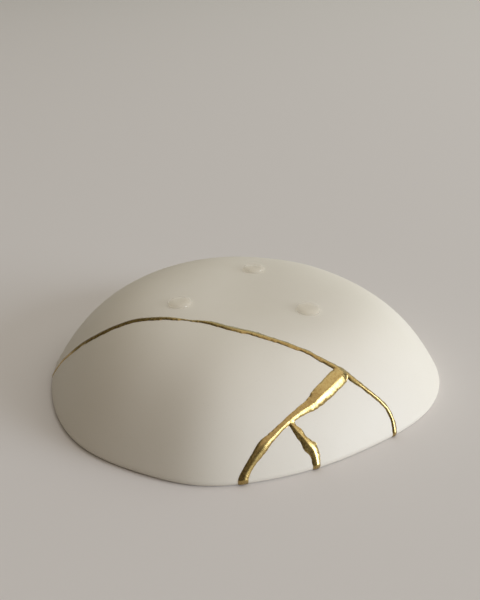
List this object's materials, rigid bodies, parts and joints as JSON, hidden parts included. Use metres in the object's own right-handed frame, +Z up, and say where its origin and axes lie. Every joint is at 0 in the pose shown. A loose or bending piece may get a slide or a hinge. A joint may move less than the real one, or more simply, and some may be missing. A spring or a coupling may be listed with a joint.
{
  "type": "kintsugi bowl",
  "caption": "Shallow hand-formed ceramic bowl mended with raised gold seams, resting upside down on its rim, with three clear bumper feet on its base.",
  "frame": {"origin": "on the table, under the middle of the bowl's footprint", "axes": "+Z up from the table towards the base of the upturned bowl, -Y towards the mended side"},
  "size_m": [0.1996, 0.2052, 0.0455],
  "materials": {
    "stoneware": "smooth satin matt, off-white",
    "gold": "satin gold dust over lacquer",
    "clear_bumper": "clear soft polyurethane, glossy"
  },
  "bodies": {
    "root": {"sherd_back": "stoneware", "sherd_front_left": "stoneware", "sherd_front_wedge": "stoneware", "sherd_front_right": "stoneware", "gold_seam": "gold", "foot_left": "clear_bumper", "foot_right": "clear_bumper", "foot_rear": "clear_bumper"}
  },
  "joints": []
}
